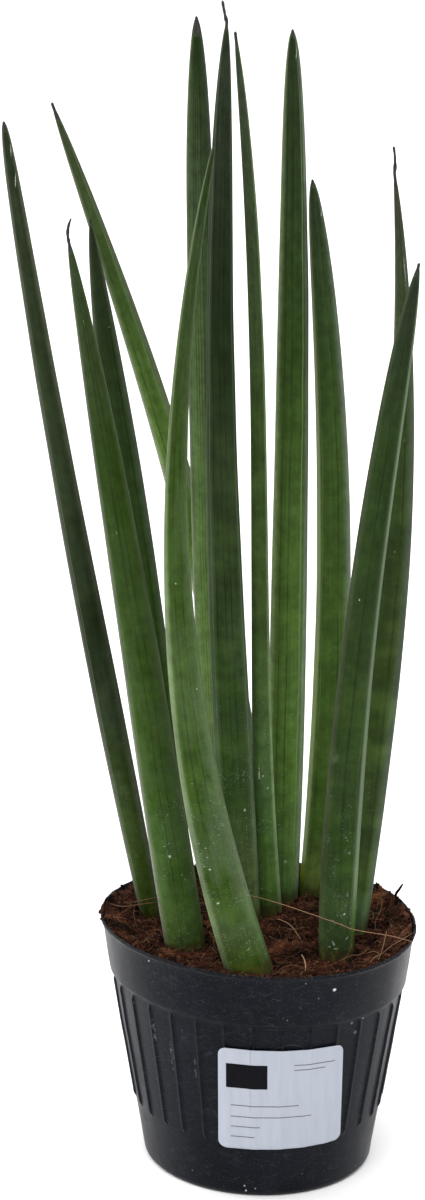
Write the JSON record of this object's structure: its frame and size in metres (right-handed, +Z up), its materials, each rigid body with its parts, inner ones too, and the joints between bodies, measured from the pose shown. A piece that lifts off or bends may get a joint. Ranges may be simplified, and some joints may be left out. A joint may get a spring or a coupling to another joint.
{
  "type": "potted cylindrical snake plant",
  "caption": "Succulent with tall, stiff, round tapering leaves standing in dark soil, in a ribbed black nursery pot with a plain white label.",
  "frame": {"origin": "centre of the pot's underside, on the surface that the pot stands on", "axes": "+Z up through the pot and along the leaves; -Y is the front, where the label is; +X to the right seen from the front"},
  "size_m": [0.158, 0.1196, 0.4359],
  "materials": {
    "pot_plastic": "satin",
    "label_paper": "satin",
    "coir_soil": "matte",
    "leaf_light": "satin",
    "leaf_mid": "satin",
    "leaf_dark": "satin"
  },
  "bodies": {
    "root": {"pot": "pot_plastic", "label": "label_paper", "soil": "coir_soil", "leaf_01": "leaf_dark", "leaf_02": "leaf_light", "leaf_03": "leaf_mid", "leaf_04": "leaf_dark", "leaf_05": "leaf_light", "leaf_06": "leaf_mid", "leaf_07": "leaf_dark", "leaf_08": "leaf_mid", "leaf_09": "leaf_light", "leaf_10": "leaf_mid", "leaf_11": "leaf_dark", "leaf_12": "leaf_dark"}
  },
  "joints": []
}
